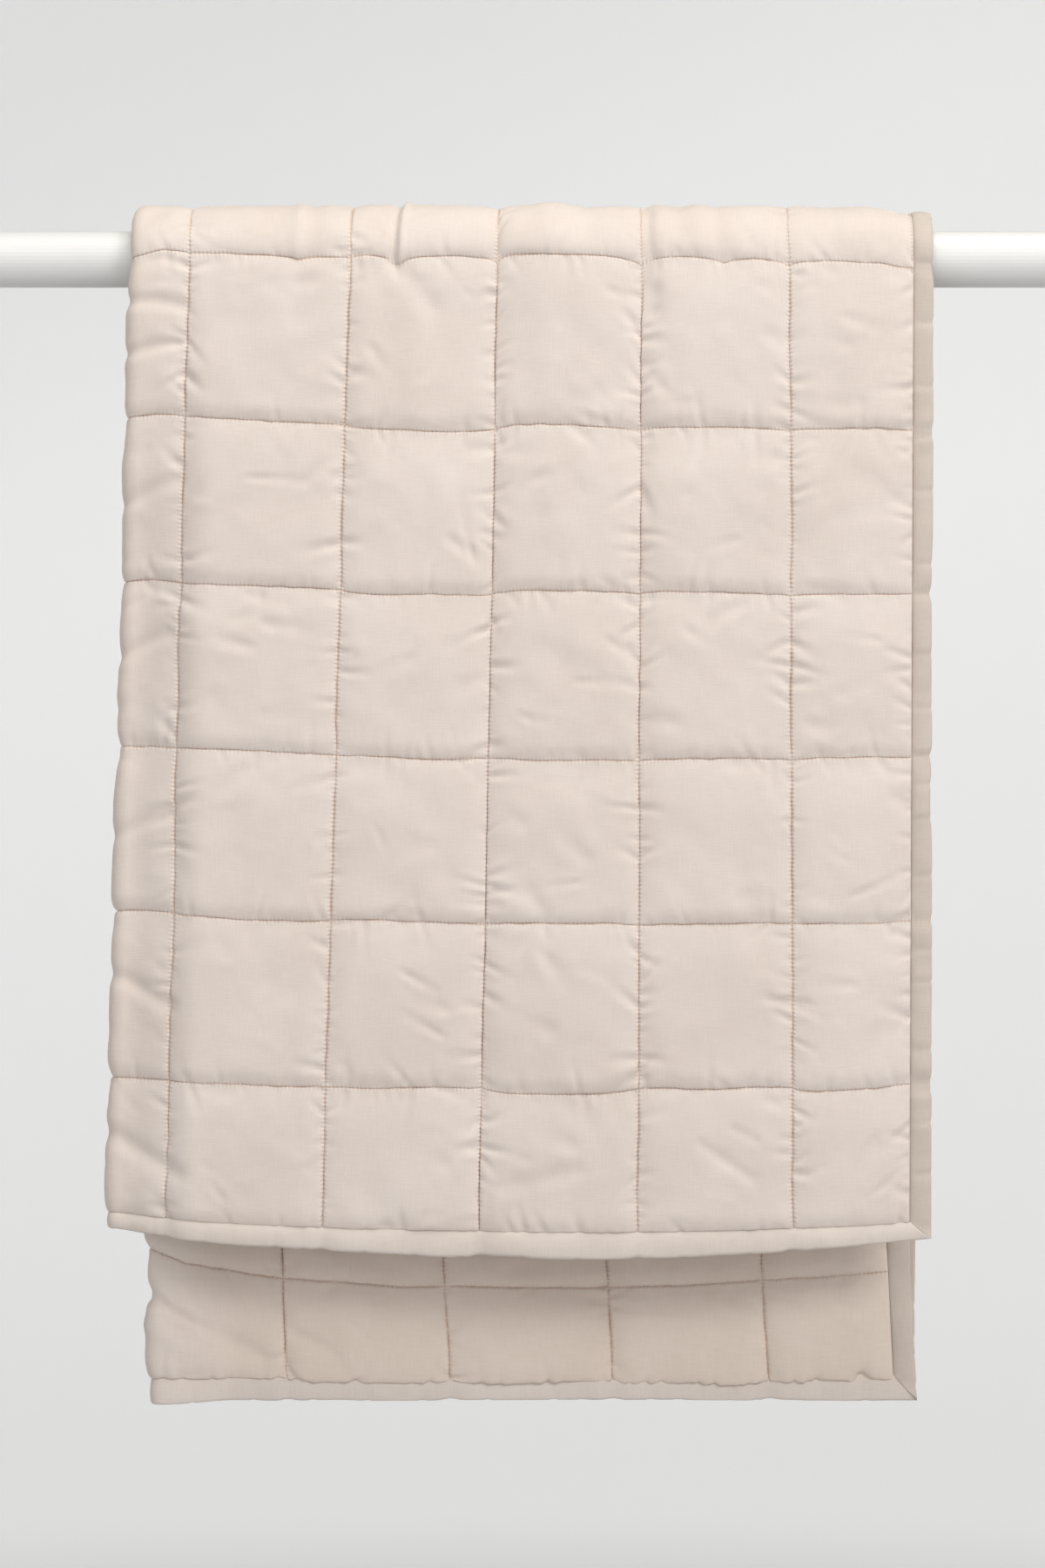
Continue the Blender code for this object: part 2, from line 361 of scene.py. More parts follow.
    def _valleys(self, hangs: Grid, v: Grid) -> Grid:
        """How far the troughs along some seams sink both layers; they fade out past the rail."""
        total = np.zeros_like(hangs)
        for valley in VALLEYS:
            depths = (valley.at_hem, valley.at_rail, self.valley_behind, 0.0)
            away = np.abs(hangs - self._hang(OUTER_SEAMS[valley.seam], v))
            total += np.interp(v, self.valley_levels, depths) * np.exp(-away / valley.width)
        return total

    def place(self, u: Grid, v: Grid) -> Grid:
        """The points in space of flat places on the throw's middle.

        Args:
            u: Across the throw, of any shape.
            v: Along the throw, of the same shape.

        Returns:
            Points, with one more axis of length 3.
        """
        hangs, depth = self._section(u, v)
        share = self._inner_share(u, v)
        drop = self.outer_drop + (self.inner_drop - self.outer_drop) * share
        radius = self.rail_radius + self.outer_depth - self.layer_step * share
        path = v - drop - self._towards_front(hangs, v)
        over = math.pi * radius
        hanging = (path < 0) | (path > over)
        down = np.where(path < 0, -path, path - over) * self.take_up
        sway = self._wave(hangs, down) - self._curl(hangs, v, down)
        out = self.rail_radius + depth + np.where(hanging, sway, 0.0)
        out = out - self._valleys(hangs, v)
        turned = np.clip(path / radius, 0.0, math.pi)
        level = np.where(hanging, -down, out * np.sin(turned))
        return np.stack([self.middle + hangs, -out * np.cos(turned), level], axis=-1)

    def frame_at(self, u: Grid, v: Grid) -> tuple[Grid, Grid, Grid]:
        """The local axes of the cloth at flat places.

        Returns:
            Unit directions across, along, and out of the face cloth.
        """
        reach = 0.5 * MM
        across = self.place(u + reach, v) - self.place(u - reach, v)
        along = self.place(u, v + reach) - self.place(u, v - reach)
        across /= np.linalg.norm(across, axis=-1, keepdims=True)
        along /= np.linalg.norm(along, axis=-1, keepdims=True)
        out = np.cross(along, across)
        out /= np.linalg.norm(out, axis=-1, keepdims=True)
        return across, along, out

    def surface(self, u: Grid, v: Grid, lift: Grid) -> Grid:
        """Points lifted off the middle of the cloth, outwards from the face cloth."""
        _, _, out = self.frame_at(u, v)
        return self.place(u, v) + out * lift[..., None]


@dataclass(frozen=True)
class Crease:
    """A soft trough, or a ridge where its depth is below 0, between two flat places."""

    start: tuple[float, float]
    end: tuple[float, float]
    width: float
    depth: float


CREASES = (
    Crease((0.552, 0.905), (0.553, 0.790), 0.0050, -0.0012),
    Crease((0.541, 0.905), (0.542, 0.792), 0.0080, 0.0013),
    Crease((0.4665, 0.890), (0.4730, 0.788), 0.0040, 0.0026),
    Crease((0.4618, 0.862), (0.4672, 0.789), 0.0028, -0.0028),
    Crease((0.4560, 0.890), (0.4570, 0.850), 0.0022, 0.0018),
    Crease((0.4700, 0.783), (0.4380, 0.748), 0.0100, 0.0026),
    Crease((0.4500, 0.775), (0.4480, 0.668), 0.0120, -0.0012),
    Crease((0.5500, 0.784), (0.5560, 0.755), 0.0080, 0.0012),
    Crease((0.3830, 0.828), (0.3820, 0.792), 0.0060, 0.0022),
    Crease((0.3680, 0.780), (0.3600, 0.700), 0.0160, 0.0016),
    Crease((0.3350, 0.900), (0.3320, 0.800), 0.0140, -0.0014),
    Crease((0.3000, 0.900), (0.2980, 0.805), 0.0120, 0.0012),
    Crease((0.2450, 0.842), (0.2450, 0.792), 0.0060, 0.0030),
    Crease((0.2460, 0.780), (0.2390, 0.745), 0.0090, 0.0028),
    Crease((0.2180, 0.900), (0.2160, 0.810), 0.0100, 0.0014),
    Crease((0.2010, 0.900), (0.1990, 0.800), 0.0110, -0.0012),
    Crease((0.1860, 0.890), (0.1820, 0.790), 0.0070, 0.0011),
    Crease((0.1270, 0.890), (0.1240, 0.790), 0.0080, 0.0010),
    Crease((0.0300, 0.890), (0.0240, 0.800), 0.0060, 0.0020),
    Crease((0.6450, 0.742), (0.7000, 0.752), 0.0060, 0.0026),
    Crease((0.6500, 0.712), (0.7000, 0.706), 0.0055, 0.0022),
    Crease((0.6450, 0.604), (0.7000, 0.580), 0.0065, 0.0020),
    Crease((0.6480, 0.482), (0.7000, 0.458), 0.0060, 0.0021),
    Crease((0.6450, 0.340), (0.7000, 0.318), 0.0065, 0.0020),
    Crease((0.6420, 0.190), (0.7000, 0.216), 0.0065, 0.0024),
    Crease((0.6300, 0.056), (0.6950, 0.088), 0.0080, 0.0026),
    Crease((0.3600, 0.055), (0.3000, 0.070), 0.0070, 0.0012),
    Crease((0.1980, 0.088), (0.1560, 0.062), 0.0045, 0.0011),
    Crease((0.1700, 0.100), (0.1500, 0.090), 0.0040, 0.0010),
    Crease((0.6400, 1.721), (0.7000, 1.746), 0.0060, 0.0036),
    Crease((0.6450, 1.7235), (0.6900, 1.742), 0.0030, 0.0040),
    Crease((0.7090, 1.750), (0.7500, 1.764), 0.0080, 0.0030),
    Crease((0.6600, 1.746), (0.7000, 1.762), 0.0080, -0.0022),
    Crease((0.7800, 1.745), (0.8100, 1.758), 0.0050, 0.0012),
)


@dataclass(frozen=True)
class RowArch:
    """How far a crosswise seam arches up between the lengthwise ones, by its v.

    The rises are for the columns of squares from the folded edge to the binding, and the last
    value is how far the seam drops again where it turns round the folded edge.
    """

    flat: float
    rises: tuple[float, float, float, float, float, float]
    fold_drop: float


ARCHES = (
    RowArch(0.020, (0.0000, 0.0000, 0.0000, 0.0000, 0.0000, 0.0000), 0.0000),
    RowArch(0.131, (-0.001, -0.001, 0.0000, -0.003, 0.0010, -0.003), 0.0010),
    RowArch(0.262, (0.0008, -0.001, 0.0010, 0.0012, 0.0008, 0.0000), 0.0020),
    RowArch(0.393, (0.0005, 0.0005, -0.001, 0.0005, 0.0018, 0.0003), 0.0020),
    RowArch(0.524, (0.0010, 0.0003, -0.0022, 0.0027, 0.0030, 0.0004), 0.0035),
    RowArch(0.655, (0.0010, 0.0000, -0.0034, 0.0032, 0.0036, 0.0012), 0.0045),
    RowArch(0.786, (0.0020, 0.0005, 0.0045, 0.0070, 0.0062, 0.0034), 0.0080),
    RowArch(0.850, (0.0010, 0.0000, 0.0020, 0.0030, 0.0030, 0.0015), 0.0020),
    RowArch(0.917, (0.0000, 0.0010, -0.002, 0.0010, -0.001, 0.0010), 0.0000),
    RowArch(1.600, (0.0000, 0.0010, -0.001, 0.0010, -0.001, 0.0010), 0.0000),
    RowArch(1.780, (0.0000, 0.0000, 0.0000, 0.0000, 0.0000, 0.0000), 0.0000),
)


@dataclass(frozen=True)
class Cusp:
    """A place where a fold draws a crosswise seam towards the front hem: down in front, up behind."""

    flat: tuple[float, float]
    width: float
    drop: float


CUSPS = (
    Cusp((0.552, 0.786), 0.012, 0.0030),
    Cusp((0.469, 0.786), 0.013, 0.0095),
    Cusp((0.177, 0.786), 0.012, 0.0050),
    Cusp((0.372, 0.655), 0.010, 0.0012),
    Cusp((0.662, 1.703), 0.050, 0.0130),
)


@dataclass
class Seamwork:
    """Where the sewing really lies: the seams wander a little, and arch up between crossings."""

    cut: Cut
    wander: float = 1.1 * MM
    jitter: float = 0.45 * MM
    cusp_reach: float = 0.035
    settle: float = 0.030
    folded_edge: float = 0.700
    turned_span: tuple[float, float] = (0.660, 0.760)

    def _waver(self, run: Grid, aside: Grid, seed: int) -> Grid:
        """How far a seam strays sideways: slowly over some cells, and quickly between stitches."""
        slow = self.wander * drift(run / 0.048, aside / 0.075, seed)
        return slow + self.jitter * drift(run / 0.010, aside / 0.05, seed + 1)

    def shift(self, u: Grid, v: Grid) -> tuple[Grid, Grid]:
        """How far each flat place lies from where the plain grid has it."""
        columns, rows = self.cut.columns(), self.cut.rows()
        du = self._waver(v, u, 71)
        dv = self._waver(u, v, 73)
        places = [arch.flat for arch in ARCHES]
        edges = [self.folded_edge, *columns[5::-1]]
        for column, (left, right) in enumerate(zip(edges, edges[1:])):
            share = np.clip((left - u) / (left - right), 0.0, 1.0) ** 0.8
            rise = np.interp(v, places, [arch.rises[column] for arch in ARCHES])
            dv += rise * (1 - np.abs(2 * share - 1) ** 4)
        turned = window(u, *self.turned_span, 0.035, 0.03)
        dv -= np.interp(v, places, [arch.fold_drop for arch in ARCHES]) * turned
        for cusp in CUSPS:
            beside = np.exp(-np.abs(u - cusp.flat[0]) / cusp.width)
            dv -= cusp.drop * beside * np.exp(-(((v - cusp.flat[1]) / self.cusp_reach) ** 2))
        margin = np.minimum.reduce([u - columns[0], columns[-1] - u, v - rows[0], rows[-1] - v])
        inside = soft_step(margin / self.settle)
        return du * inside, dv * inside


@dataclass(frozen=True)
class Pucker:
    """A short dent in the cloth between two soft ridges."""

    start: tuple[float, float]
    turn: float
    length: float
    width: float
    depth: float


@dataclass
class Relief:
    """How far the face cloth stands off the throw's middle, with its squares and puckers.

    A shoulder is given by its reach from the seam and by the share of its rise that comes at once.
    The crumples and the ripple on the rail are in millimetres.
    """

    cut: Cut
    full: float = 6.4 * MM
    seam: float = 1.0 * MM
    pinched: float = 0.6 * MM
    pinch_reach: float = 0.5 * MM
    quick: float = 1.7 * MM
    low_shoulder: tuple[float, float] = (14.0 * MM, 0.12)
    high_shoulder: tuple[float, float] = (45.0 * MM, 0.30)
    side_shoulder: tuple[float, float] = (20.0 * MM, 0.36)
    dome: float = 0.14
    uneven: float = 0.12
    broad_crumple: float = 0.95
    fine_crumple: float = 0.34
    rail_ripple: float = 0.5
    creases_in_square: int = 5
    hang_over: float = 2.4 * MM
    hang_reach: float = 0.010
    end_reach: float = 0.026
    pressed_span: tuple[float, float] = (0.770, 0.980)
    held_span: tuple[float, float] = (0.800, 1.050)
    followed: float = 0.35
    thinnest: float = 0.6 * MM
    front_hem_over: float = 2.6
    back_hem_over: float = 9.0

    def __post_init__(self) -> None:
        """Strews the puckers along the seams and the soft creases over the squares."""
        self.puckers = self._seam_puckers(Seams.LENGTHWISE, 101)
        self.puckers += self._seam_puckers(Seams.CROSSWISE, 102)
        self.puckers += self._square_creases(103)

    def _seam_puckers(self, seams: Seams, seed: int) -> list[Pucker]:
        """Short dents that start at a seam and run off it, closer together here and there."""
        chance = np.random.default_rng(seed)
        lengthwise = seams is Seams.LENGTHWISE
        lines = self.cut.columns() if lengthwise else self.cut.rows()
        run = self.cut.length if lengthwise else self.cut.width
        left_out, depth_share = (0.25, 1.0) if lengthwise else (0.45, 0.7)
        margin = 0.02
        puckers = []
        for line in lines:
            at = chance.uniform(margin, 2 * margin)
            while at < run - margin:
                strong = chance.random() ** 1.7
                for side in (-1, 1):
                    if chance.random() < left_out:
                        continue
                    turn = (0.0 if side > 0 else math.pi) + chance.normal(0.0, 0.45)
                    start = (line, at + chance.normal(0.0, 0.0008))
                    if not lengthwise:
                        turn, start = turn + math.pi / 2, start[::-1]
                    length = (0.008 + 0.028 * strong) * chance.uniform(0.7, 1.3)
                    depth = (0.0006 + 0.0017 * strong) * depth_share
                    width = chance.uniform(0.0015, 0.0028) + 0.0012 * strong
                    puckers.append(Pucker(start, turn, length, width, depth))
                at += chance.gamma(1.6, 0.0050) + 0.003
        return puckers

    def _square_creases(self, seed: int) -> list[Pucker]:
        """Long faint creases across the squares, mostly level or slanting."""
        chance = np.random.default_rng(seed)
        columns, rows = self.cut.columns(), self.cut.rows()
        creases = []
        for left, right in zip(columns, columns[1:]):
            for low, high in zip(rows, rows[1:]):
                for _ in range(self.creases_in_square):
                    start = (chance.uniform(left, right), chance.uniform(low, high))
                    turn = chance.choice([0.0, math.pi]) + chance.normal(0.0, 0.55)
                    size = chance.random()
                    width = chance.uniform(0.0030, 0.0080)
                    creases.append(Pucker(start, turn, 0.022 + 0.045 * size, width, 0.0004 + 0.0011 * size))
        return creases

    def _up_and_down(self, v: Grid, before: Grid, after: Grid) -> tuple[Grid, ...]:
        """Where the cloth hangs in front, and the distances from the seams below and above."""
        on_front = v < self.cut.joins()[2]
        return on_front, np.where(on_front, before, after), np.where(on_front, after, before)

    def _beside(self, edges: Grid, at: Grid) -> tuple[Grid, Grid, Grid]:
        """The cell that each place is in, and its distances from the seams on both sides."""
        cell = np.clip(np.searchsorted(edges, at, side="right") - 1, 0, len(edges) - 2)
        before = np.clip(at - edges[cell], 0.0, None)
        after = np.clip(edges[cell + 1] - at, 0.0, None)
        return cell, before, after

    def _shoulder(self, away: Grid, reach: float, at_once: float) -> Grid:
        """A rise from a seam: a share of it at once, and the rest softly up to its reach."""
        near = 1 - (1 - np.clip(away / self.quick, 0.0, 1.0)) ** 2
        slow = 1 - (1 - np.clip(away / reach, 0.0, 1.0)) ** 2
        return at_once * near + (1 - at_once) * slow

    def _creases(self, u: Grid, v: Grid) -> Grid:
        """The main creases, placed one by one."""
        total = np.zeros_like(u)
        for crease in CREASES:
            start = np.array(crease.start)
            run = np.array(crease.end) - start
            share = ((u - start[0]) * run[0] + (v - start[1]) * run[1]) / (run @ run)
            held = np.clip(share, 0.0, 1.0)
            away = np.hypot(u - start[0] - held * run[0], v - start[1] - held * run[1])
            total -= crease.depth * np.exp(-((away / crease.width) ** 2))
        return total

    def broad(self, u: Grid, v: Grid) -> Grid:
        """The part of the relief that the seams follow too."""
        return self.followed * self._creases(u, v)

    def _add_puckers(self, across: Grid, along: Grid, total: Grid) -> None:
        """Presses each pucker into the heights over a grid, inside its own small window."""
        for pucker in self.puckers:
            reach = pucker.length + 3 * pucker.width
            first, last = np.searchsorted(across, (pucker.start[0] - reach, pucker.start[0] + reach))
            low, high = np.searchsorted(along, (pucker.start[1] - reach, pucker.start[1] + reach))
            if last - first < 2 or high - low < 2:
                continue
            u, v = np.meshgrid(across[first:last] - pucker.start[0], along[low:high] - pucker.start[1])
            ahead = u * math.cos(pucker.turn) + v * math.sin(pucker.turn)
            aside = v * math.cos(pucker.turn) - u * math.sin(pucker.turn)
            share = ahead / pucker.length
            # It is deep at once where it leaves the seam, and fades along its length
            begun = np.clip(0.35 + share * 5, 0.0, 1.0)
            fade = np.where(share < 0, begun, np.clip(1 - share, 0.0, 1.0) ** 1.5 * begun)
            spread = pucker.width * (1 + 0.8 * np.clip(share, 0.0, 1.0))
            ridge = (1 - (aside / spread) ** 2) * np.exp(-((aside / spread) ** 2) / 1.4)
            total[low:high, first:last] -= pucker.depth * fade * ridge

    def lift(self, across: Grid, along: Grid) -> Grid:
        """The height of the face cloth over the throw's middle, on a grid of flat lines."""
        u, v = np.meshgrid(across, along)
        columns, rows = self.cut.columns(), self.cut.rows()
        column, left, right = self._beside(columns, u)
        row, before, after = self._beside(rows, v)
        _, low, high = self._up_and_down(v, before, after)
        nearest = np.minimum.reduce([left, right, low, high])
        pinch = 1 - np.exp(-nearest / self.pinch_reach)
        shape = self._shoulder(left, *self.side_shoulder) * self._shoulder(right, *self.side_shoulder)
        shape *= self._shoulder(low, *self.low_shoulder) * self._shoulder(high, *self.high_shoulder)
        dome = np.sin(math.pi * left / (left + right)) * np.sin(math.pi * before / (before + after))
        uneven = 1 + self.uneven * drift(column * 1.7 + 0.5, row * 1.3 + 0.5, 11)
        rise = (self.full - self.seam - self.pinched) * shape * (1 - self.dome + self.dome * dome) * uneven
        # The squares are pressed flatter on the rail, and more so towards the outer binding
        on_rail = window(v, *self.pressed_span, 0.03, 0.06)
        pressed = 0.42 + 0.40 * soft_step((0.26 - u) / 0.20)
        rise *= 1 - pressed * on_rail
        height = np.zeros_like(u)
        self._add_puckers(across, along, height)
        crumple = self.broad_crumple * drift(u / 0.036 + drift(v / 0.05, u / 0.05, 5), v / 0.043, 41)
        crumple += self.fine_crumple * drift(u / 0.016, v / 0.014 + drift(u / 0.03, v / 0.03, 6), 42)
        height += crumple * MM * np.clip(shape * 2, 0.0, 1.0)
        ripple = self.rail_ripple * MM * drift(u / 0.030, v / 0.20, 43)
        height += ripple * on_rail * np.clip(0.3 + shape, 0.0, 1.0)
        height = self.seam + self.pinched * pinch + rise + height * pinch
        height += self._creases(u, v) * np.clip(0.35 + pinch, 0.0, 1.0)
        return np.maximum(height, self.thinnest)

    def _over_hems(self, u: Grid, v: Grid) -> Grid:
        """How many times as far the last squares hang over the hems' bindings, in waves."""
        beside_fold = 0.35 + 0.65 * soft_step((u - 0.670) / 0.070)
        waves = 0.85 + 0.35 * drift(u / 0.050, np.full_like(u, 0.5), 19)
        behind = soft_step((v - self.cut.rows()[-2] - 0.020) / 0.050)
        in_front = soft_step((self.cut.rows()[1] - 0.040 - v) / 0.050)
        return 1 + waves * (self.back_hem_over * beside_fold * behind + self.front_hem_over * in_front)

    def hang(self, across: Grid, along: Grid, lift: Grid) -> Grid:
        """How far the padding pulls the face cloth down over the seam below, along v."""
        u, v = np.meshgrid(across, along)
        _, before, after = self._beside(self.cut.rows(), v)
        on_front, low, _ = self._up_and_down(v, before, after)
        pinch = 1 - np.exp(-low / self.pinch_reach)
        pull = self.hang_over * np.exp(-low / self.hang_reach) * pinch * np.clip(lift / self.full, 0.0, 1.2)
        pull *= self._over_hems(u, v)
        off_rail = 1 - window(v, *self.held_span, 0.03, 0.03)
        to_hem = np.minimum(v, self.cut.length - v)
        ends = np.clip(to_hem / self.end_reach, 0.0, 1.0)
        return np.where(on_front, -pull, pull) * ends * off_rail


def grid_faces(rows: int, columns: int, closed: bool = False) -> Grid:
    """Quads over a grid of points, which may close on itself across its columns."""
    across = columns if closed else columns - 1
    at = np.arange(rows - 1)[:, None] * columns + np.arange(across)[None, :]
    step = np.where(np.arange(across) == columns - 1, 1 - columns, 1)[None, :]
    return np.stack([at, at + step, at + step + columns, at + columns], axis=-1).reshape(-1, 4)


def linked(name: str, data: bpy.types.ID) -> Piece:
    """A new object in the scene, at the origin, with its data."""
    made = bpy.data.objects.new(name, data)
    bpy.context.scene.collection.objects.link(made)
    return made


def new_piece(
    name: str,
    points: Grid,
    faces: list[list[int]],
    flat: Grid,
    material: Material,
) -> Piece:
    """Makes a mesh piece with its flat places in metres as a UV map.

    Args:
        name: The piece's name.
        points: Points of shape (count, 3).
        faces: Corner indices of each face, facing outwards.
        flat: The u and v of each point, of shape (count, 2).
        material: The finish of the whole piece.

    Returns:
        The new object, at the origin.
    """
    mesh = bpy.data.meshes.new(name)
    mesh.from_pydata(points.tolist(), [], faces)
    corner_points = np.empty(len(mesh.loops), np.int32)
    mesh.loops.foreach_get("vertex_index", corner_points)
    layer = mesh.uv_layers.new(name="flat")
    layer.data.foreach_set("uv", flat[corner_points].astype(np.float32).ravel())
    mesh.shade_smooth()
    mesh.materials.append(material)
    return linked(name, mesh)


def feed(tree: Tree, node: bpy.types.Node, inputs: dict) -> None:
    """Sets a node's inputs, by name or number, to values or to the sockets that feed them."""
    for name, value in inputs.items():
        if isinstance(value, Socket):
            tree.links.new(value, node.inputs[name])
        else:
            node.inputs[name].default_value = value


def add_node(tree: Tree, kind: str, inputs: dict | None = None, **settings: object) -> bpy.types.Node:
    """Adds a node with its settings, socket values and links.

    Args:
        tree: The tree that gets the node.
        kind: The node's Blender type.
        inputs: Socket name or number to a value, or to the socket that feeds it.
        settings: Attributes of the node.

    Returns:
        The new node.
    """
    node = tree.nodes.new(kind)
    for name, value in settings.items():
        setattr(node, name, value)
    feed(tree, node, inputs or {})
    return node


def worked_out(tree: Tree, operation: str, *terms: Socket | float, held: bool = False) -> Socket:
    """The result of a sum, which may be held between 0 and 1."""
    given = dict(enumerate(terms))
    return add_node(tree, "ShaderNodeMath", given, operation=operation, use_clamp=held).outputs[0]


def ramp(
    tree: Tree,
    value: Socket,
    span: tuple[float, float],
    to: tuple[float, float] = (0.0, 1.0),
    kind: str = "LINEAR",
) -> Socket:
    """A value that is brought from one span to another and held at its ends."""
    given = {"Value": value, "From Min": span[0], "From Max": span[1], "To Min": to[0], "To Max": to[1]}
    return add_node(tree, "ShaderNodeMapRange", given, interpolation_type=kind).outputs[0]


def blend(
    tree: Tree, share: Socket, first: Socket | Colour, second: Socket | Colour, kind: str = "MIX"
) -> Socket:
    """The first colour turned into the second one by a share."""
    given = {0: share, 6: first, 7: second}
    return add_node(tree, "ShaderNodeMix", given, data_type="RGBA", blend_type=kind).outputs[2]


def noise(
    tree: Tree, place: Socket, scale: float, detail: float, roughness: float = 0.5, kind: str = "3D"
) -> Socket:
    """Soft random values from 0 to 1."""
    given = {"Vector": place, "Scale": scale, "Detail": detail, "Roughness": roughness}
    return add_node(tree, "ShaderNodeTexNoise", given, noise_dimensions=kind).outputs["Fac"]


def bump(tree: Tree, height: Socket, strength: float, distance: float, **below: Socket) -> Socket:
    """The normal over some heights, and over a normal below them if one is given."""
    given = {"Height": height, "Strength": strength, "Distance": distance, **below}
    return add_node(tree, "ShaderNodeBump", given).outputs["Normal"]


def new_material(name: str) -> tuple[Material, Tree, bpy.types.Node]:
    """A new material, with its tree and its shader."""
    material = bpy.data.materials.new(name)
    material.use_nodes = True
    return material, material.node_tree, material.node_tree.nodes["Principled BSDF"]


@dataclass(frozen=True)
class WashedLinen:
    """Washed plain-weave linen cloth: matt, soft, with thicker threads here and there; when quilted, it has
    painted shade in the seam grooves and a warm painted shade over the inner layer.
    """

    name: str
    base: str = "E3D8D1"
    deep: str = "D6C7BC"
    # Painted shade: the darker, warmer colour of the seam grooves
    seam_groove_shade: str = "D6BBA8"
    # Painted shade: a warmer, slightly darker tint for the inner layer, for light bounced between the layers
    inner_layer_warm_shade: str = "FEFAF5"
    turned_span: tuple[float, float] = (0.655, 0.750)
    quilted: bool = True
    thread: float = 1.1 * MM
    slub_length: float = 15 * MM
    weave_tone: float = 0.30
    wash_tone: float = 0.35
    patch: float = 0.11
    stitch: float = 3.3 * MM
    line_span: tuple[float, float] = (0.2 * MM, 1.2 * MM)
    pucker_reach: float = 4.5 * MM
    roughness: float = 0.92
    relief: float = 0.16 * MM
    pucker: float = 0.20 * MM

    def _weave(self, tree: Tree, place: Socket) -> Socket:
        """The uneven threads of both directions, added together."""
        threads = []
        # The threads are 0.6 mm apart on the real cloth, and drawn about twice as wide to show
        for across, along in ((self.thread, self.slub_length), (self.slub_length, self.thread)):
            given = {0: place, 1: (1 / across, 1 / along, 1.0)}
            stretched = add_node(tree, "ShaderNodeVectorMath", given, operation="MULTIPLY").outputs[0]
            threads.append(noise(tree, stretched, 1.0, 2.0, 0.55, "2D"))
        return worked_out(tree, "ADD", *threads)

    def _sewn_lines(self, tree: Tree, place: Socket, cut: Cut) -> tuple[Socket, Socket]:
        """How near each place is to a seam line, and the small puckers that each stitch draws in."""
        flat = add_node(tree, "ShaderNodeSeparateXYZ", {0: place}).outputs
        nearness, puckers = [], []
        for at, along, first, pitch in (
            (flat[0], flat[1], cut.binding + cut.edge_column, cut.column),
            (flat[1], flat[0], cut.binding + cut.front_edge_row, cut.row),
        ):
            moved = worked_out(tree, "SUBTRACT", at, first)
            away = worked_out(tree, "PINGPONG", moved, pitch / 2)
            nearness.append(ramp(tree, away, self.line_span, (1.0, 0.0), "SMOOTHSTEP"))
            wide = ramp(tree, away, (0.0, self.pucker_reach), (1.0, 0.0), "SMOOTHSTEP")
            turned = worked_out(tree, "MULTIPLY", along, 2 * math.pi / self.stitch)
            puckers.append(worked_out(tree, "MULTIPLY", worked_out(tree, "SINE", turned), wide))
        return worked_out(tree, "MAXIMUM", *nearness), worked_out(tree, "ADD", *puckers)

    def build(self, cut: Cut) -> Material:
        """Makes the material, on the piece's flat places in metres."""
        material, tree, shader = new_material(self.name)
        place = add_node(tree, "ShaderNodeUVMap", uv_map="flat").outputs["UV"]
        weave = self._weave(tree, place)
        wide = {0: place, "Scale": 1 / self.patch}
        scaled = add_node(tree, "ShaderNodeVectorMath", wide, operation="SCALE").outputs[0]
        patches = noise(tree, scaled, 1.0, 3.0, 0.6, "2D")
        tone = ramp(tree, weave, (0.7, 1.3), (0.0, self.weave_tone))
        wash = ramp(tree, patches, (0.3, 0.7), (0.0, self.wash_tone))
        deepened = worked_out(tree, "ADD", tone, wash, held=True)
        colour = blend(tree, deepened, linear(self.base), linear(self.deep))
        normal = bump(tree, weave, 0.55, self.relief)
        if self.quilted:
            across = add_node(tree, "ShaderNodeSeparateXYZ", {0: place}).outputs[0]
            # Painted shade: from the fold on, the inner layer is tinted warmer and a little darker
            under = ramp(tree, across, self.turned_span, kind="SMOOTHSTEP")
            colour = blend(tree, under, colour, linear(self.inner_layer_warm_shade), "MULTIPLY")
            near, pucker = self._sewn_lines(tree, place, cut)
            # Painted shade along the seam grooves, deeper in some stretches than in others
            depth = ramp(tree, noise(tree, place, 45.0, 2.0, kind="2D"), (0.35, 0.65), (0.1, 0.8))
            colour = blend(tree, worked_out(tree, "MULTIPLY", near, depth), colour, linear(self.seam_groove_shade))
            normal = bump(tree, pucker, 1.0, self.pucker, Normal=normal)
        feed(tree, shader, {
            "Base Color": colour,
            "Normal": normal,
            "Roughness": self.roughness,
            "Sheen Weight": 0.10,
            "Sheen Roughness": 0.6,
            "Specular IOR Level": 0.2,
        })
        return material


@dataclass(frozen=True)
class LinenThread:
    """Spun sewing thread of the cloth's own colour, a little deeper where it twists."""

    name: str
    base: str = "DFD0C4"
    deep: str = "D3BFAF"
    twist: float = 0.9 * MM
    roughness: float = 0.85

    def build(self) -> Material:
        """Makes the material, with a fine twist that follows object coordinates."""
        material, tree, shader = new_material(self.name)
        place = add_node(tree, "ShaderNodeTexCoord").outputs["Object"]
        twist = noise(tree, place, 1 / self.twist, 1.0)
        colour = blend(tree, twist, linear(self.base), linear(self.deep))
        feed(tree, shader, {"Base Color": colour, "Roughness": self.roughness})
        return material


@dataclass(frozen=True)
class SatinPaint:
    """Satin white paint, sprayed on a turned wooden pole: smooth, with a faint unevenness."""

    name: str
    base: str = "EBEBEA"
    clouded: str = "E6E6E5"
    roughness: float = 0.38
    grain: float = 0.05 * MM

    def build(self) -> Material:
        """Makes the material."""
        material, tree, shader = new_material(self.name)
        place = add_node(tree, "ShaderNodeTexCoord").outputs["Object"]
        cloud = noise(tree, place, 9.0, 2.0)
        feed(tree, shader, {
            "Base Color": blend(tree, cloud, linear(self.base), linear(self.clouded)),
            "Roughness": ramp(tree, cloud, (0.0, 1.0), (self.roughness - 0.05, self.roughness + 0.08)),
            "Normal": bump(tree, noise(tree, place, 900.0, 2.0), 0.15, self.grain),
        })
        return material


def joined(parts: list[Grid]) -> Grid:
    """Mesh lines of several stretches in one, without repeats."""
    return np.unique(np.round(np.concatenate(parts), 6))


